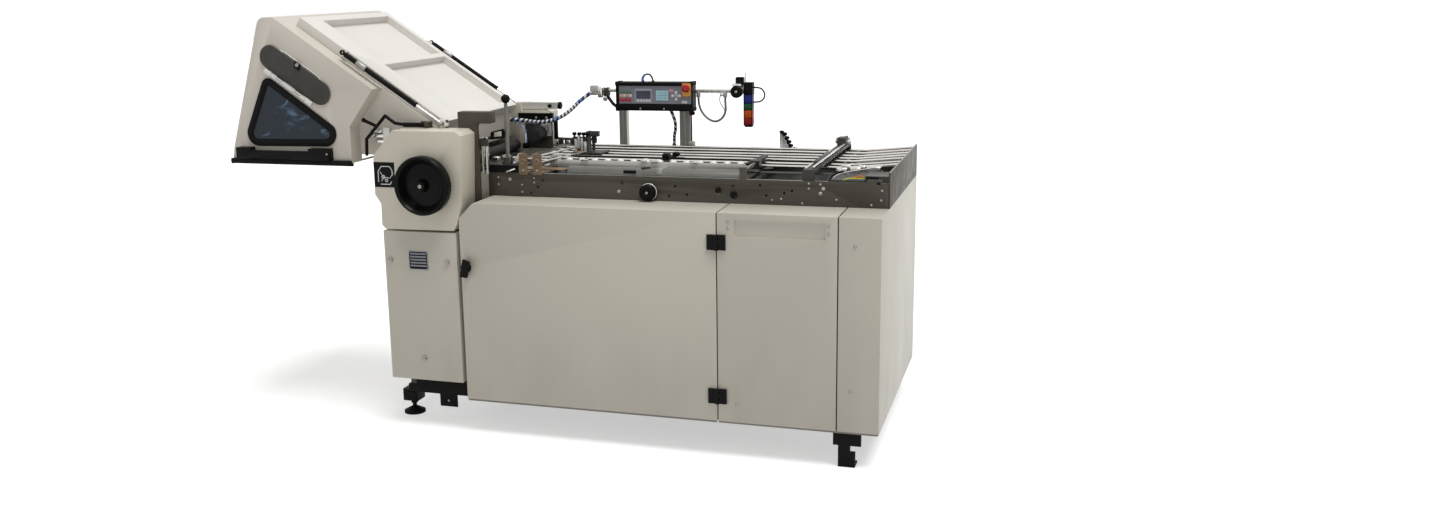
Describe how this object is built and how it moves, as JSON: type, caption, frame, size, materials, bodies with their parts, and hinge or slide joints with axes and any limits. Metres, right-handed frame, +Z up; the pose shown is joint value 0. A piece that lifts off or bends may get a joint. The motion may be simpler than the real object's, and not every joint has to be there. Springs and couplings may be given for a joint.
{
  "type": "paper folding machine",
  "caption": "Floor-standing buckle folding machine: cabinet, register table, hand wheel, roller fold unit, sloped hood with lid, control panel on a rail.",
  "frame": {"origin": "centre of the whole machine's plan, on the floor", "axes": "+X from the fold unit to the feed end, +Y from the operator's side to the rear, +Z up"},
  "size_m": [2.438, 0.999, 1.494],
  "materials": {
    "cream_paint": "fine satin powder coat, warm light grey",
    "lid_paint": "satin powder coat, off-white",
    "column_paint": "satin grey-brown",
    "flap_grey": "satin dark grey",
    "black_frame": "satin black enamel",
    "foot_black": "matte black moulded",
    "black_plastic": "moulded black, fine grain",
    "zinc_screws": "zinc plated",
    "steel_frame": "dark ground steel plate",
    "dark_steel": "dark grey satin",
    "bright_steel": "ground and polished",
    "roller_rubber": "matte ground rubber",
    "aluminium": "anodised satin",
    "belt_rubber": "woven backed belt",
    "white_balls": "polished white",
    "knob_black": "ribbed black",
    "clear_sheet": "clear acrylic with green edges",
    "wheel_black": "moulded black, satin gloss",
    "fold_rollers": "polyurethane with steel strips",
    "motor_grey": "satin dark grey",
    "window_tint": "blue tinted acrylic in a rubber rim",
    "panel_black": "fine textured black",
    "stop_red": "gloss red",
    "tower_black": "black with coloured lenses",
    "cable_white": "braided sleeve, white with blue",
    "cable_grey": "matte grey jacket",
    "cable_black": "matte black jacket"
  },
  "bodies": {
    "machine": {"base_frame": "black_frame", "hook_stands": "black_frame", "door_hinge_blocks": "black_plastic", "middle_panel": "cream_paint", "corner_cover": "cream_paint", "rear_panel": "cream_paint", "lower_cover": "cream_paint", "fasteners": "zinc_screws", "side_frame_front": "steel_frame", "side_frame_rear": "steel_frame", "end_plate": "dark_steel", "cross_beam": "bright_steel", "table_rods": "bright_steel", "register_belt": "belt_rubber", "clear_guard": "clear_sheet", "fold_plate_front": "column_paint", "fold_plate_rear": "cream_paint", "wheel_casing": "cream_paint", "rear_casing": "cream_paint", "buckle_plates": "bright_steel", "drive_motor": "motor_grey", "hood_shell": "cream_paint", "window_pane": "window_tint", "flap_hinge_rod": "bright_steel", "hood_grip": "black_frame", "panel_posts": "aluminium", "panel_rail": "aluminium", "signal_tower": "tower_black", "harness": "cable_white", "braided_lead": "cable_white", "grey_loop": "cable_grey", "tower_lead": "cable_black"},
    "door": {"main_door": "cream_paint", "door_hinge_leaves": "black_plastic"},
    "latch": {"door_latch": "black_plastic"},
    "front_foot": {"foot_front": "foot_black"},
    "rear_foot": {"foot_rear": "foot_black"},
    "wheel_shaft": {"hand_wheel": "wheel_black", "fold_roller_1": "fold_rollers"},
    "upper_fold_roller": {"fold_roller_2": "fold_rollers"},
    "left_fold_roller": {"fold_roller_3": "fold_rollers"},
    "left_drum": {"belt_drum_left": "aluminium"},
    "right_drum": {"belt_drum_right": "aluminium"},
    "roller_1": {"table_roller_1": "roller_rubber"},
    "roller_2": {"table_roller_2": "roller_rubber"},
    "roller_3": {"table_roller_3": "roller_rubber"},
    "ruler": {"ball_ruler": "aluminium", "ruler_balls": "white_balls"},
    "knob": {"lay_knob": "knob_black"},
    "cross_slide": {"cross_carriage": "bright_steel"},
    "sensor_slide": {"sensor_carriage": "dark_steel"},
    "stop": {"plate_stop": "bright_steel"},
    "lid": {"hood_lid": "lid_paint"},
    "spring_rod_pair": {"spring_rods": "bright_steel"},
    "spring_cylinder_pair": {"spring_cylinders": "black_frame"},
    "flap": {"side_flap": "flap_grey"},
    "clamp_lever": {"bent_lever": "black_frame"},
    "lever": {"throw_lever": "bright_steel"},
    "panel": {"control_panel": "panel_black"},
    "stop_button": {"e_stop": "stop_red"}
  },
  "joints": [
    {"name": "door_hinge", "type": "hinge", "parent": "machine", "child": "door", "pos_m": [0.676, -0.4445, 0.214], "axis": [0, 0, 1], "range_deg": [0, 110]},
    {"name": "latch_turn", "type": "hinge", "parent": "door", "child": "latch", "pos_m": [-0.24, -0.4365, 0.614], "axis": [0, 1, 0], "range_deg": [0, 90]},
    {"name": "front_foot_turn", "type": "hinge", "parent": "machine", "child": "front_foot", "pos_m": [-0.564, -0.2865, 0.05], "axis": [0, 0, 1], "range_deg": [-180, 180]},
    {"name": "rear_foot_turn", "type": "hinge", "parent": "machine", "child": "rear_foot", "pos_m": [-0.564, 0.3495, 0.05], "axis": [0, 0, 1], "range_deg": [-180, 180]},
    {"name": "hand_wheel_turn", "type": "hinge", "parent": "machine", "child": "wheel_shaft", "pos_m": [-0.374, -0.3365, 0.91], "axis": [0, 1, 0], "continuous": true},
    {"name": "upper_fold_roller_turn", "type": "hinge", "parent": "machine", "child": "upper_fold_roller", "pos_m": [-0.374, 0.0135, 0.952], "axis": [0, 1, 0], "continuous": true},
    {"name": "left_fold_roller_turn", "type": "hinge", "parent": "machine", "child": "left_fold_roller", "pos_m": [-0.416, 0.0135, 0.91], "axis": [0, 1, 0], "continuous": true},
    {"name": "left_drum_turn", "type": "hinge", "parent": "machine", "child": "left_drum", "pos_m": [-0.14, -0.0665, 0.906], "axis": [0, 1, 0], "continuous": true},
    {"name": "right_drum_turn", "type": "hinge", "parent": "machine", "child": "right_drum", "pos_m": [0.998, -0.0665, 0.906], "axis": [0, 1, 0], "continuous": true},
    {"name": "ruler_slide", "type": "slide", "parent": "machine", "child": "ruler", "axis": [0, 1, 0], "range_m": [-0.025, 0.025]},
    {"name": "knob_turn", "type": "hinge", "parent": "machine", "child": "knob", "pos_m": [0.388, -0.1865, 0.877], "axis": [0, 1, 0], "range_deg": [-455, 455]},
    {"name": "cross_slide_travel", "type": "slide", "parent": "machine", "child": "cross_slide", "axis": [1, 0, 0], "range_m": [-0.13, 0.04]},
    {"name": "sensor_slide_travel", "type": "slide", "parent": "machine", "child": "sensor_slide", "axis": [1, 0, 0], "range_m": [-0.06, 0.29]},
    {"name": "plate_stop_travel", "type": "slide", "parent": "machine", "child": "stop", "axis": [-0.8358, 0, 0.549], "range_m": [-0.2, 0.2]},
    {"name": "lid_hinge", "type": "hinge", "parent": "machine", "child": "lid", "pos_m": [-0.95231, 0.0135, 1.47159], "axis": [0, -1, 0], "range_deg": [0, 55]},
    {"name": "gas_spring_swing", "type": "hinge", "parent": "machine", "child": "spring_rod_pair", "pos_m": [-0.36214, 0.0135, 1.11144], "axis": [0, 1, 0], "range_deg": [-0.5, 17.76]},
    {"name": "gas_spring_stroke", "type": "slide", "parent": "spring_rod_pair", "child": "spring_cylinder_pair", "axis": [-0.8358, 0, 0.549], "range_m": [-0.002, 0.1466]},
    {"name": "flap_hinge", "type": "hinge", "parent": "machine", "child": "flap", "pos_m": [-1.00008, -0.3845, 1.27684], "axis": [0.8358, 0, -0.549], "range_deg": [0, 110]},
    {"name": "bent_lever_turn", "type": "hinge", "parent": "machine", "child": "clamp_lever", "pos_m": [-0.462, -0.3445, 1.107], "axis": [-1, 0, 0], "range_deg": [0, 60]},
    {"name": "throw_lever_turn", "type": "hinge", "parent": "machine", "child": "lever", "pos_m": [-0.176, -0.1865, 0.962], "axis": [0, 1, 0], "range_deg": [-25, 30]},
    {"name": "panel_tilt", "type": "hinge", "parent": "machine", "child": "panel", "pos_m": [0.213, 0.4435, 1.165], "axis": [1, 0, 0], "range_deg": [-25, 5]},
    {"name": "stop_button_press", "type": "slide", "parent": "panel", "child": "stop_button", "axis": [0, 1, 0], "range_m": [0, 0.004], "stiffness_N_per_m": 600},
    {"name": "roller_1_turn", "type": "hinge", "parent": "machine", "child": "roller_1", "pos_m": [-0.012, 0.0135, 0.905], "axis": [0, 1, 0], "continuous": true},
    {"name": "roller_2_turn", "type": "hinge", "parent": "machine", "child": "roller_2", "pos_m": [0.288, 0.0135, 0.905], "axis": [0, 1, 0], "continuous": true},
    {"name": "roller_3_turn", "type": "hinge", "parent": "machine", "child": "roller_3", "pos_m": [0.688, 0.0135, 0.905], "axis": [0, 1, 0], "continuous": true}
  ],
  "couplings": [
    {"joint": "upper_fold_roller_turn", "follows": "hand_wheel_turn", "ratio": -1},
    {"joint": "left_fold_roller_turn", "follows": "hand_wheel_turn", "ratio": -1},
    {"joint": "left_drum_turn", "follows": "hand_wheel_turn", "ratio": 0.92166},
    {"joint": "right_drum_turn", "follows": "hand_wheel_turn", "ratio": 0.92166},
    {"joint": "knob_turn", "follows": "ruler_slide", "rad_per_m": 314.16},
    {"joint": "gas_spring_swing", "follows": "lid_hinge", "ratio": 0.31388},
    {"joint": "gas_spring_stroke", "follows": "lid_hinge", "m_per_rad": 0.15061},
    {"joint": "roller_1_turn", "follows": "hand_wheel_turn", "ratio": 1.1765},
    {"joint": "roller_2_turn", "follows": "hand_wheel_turn", "ratio": 1.1765},
    {"joint": "roller_3_turn", "follows": "hand_wheel_turn", "ratio": 1.1765}
  ]
}
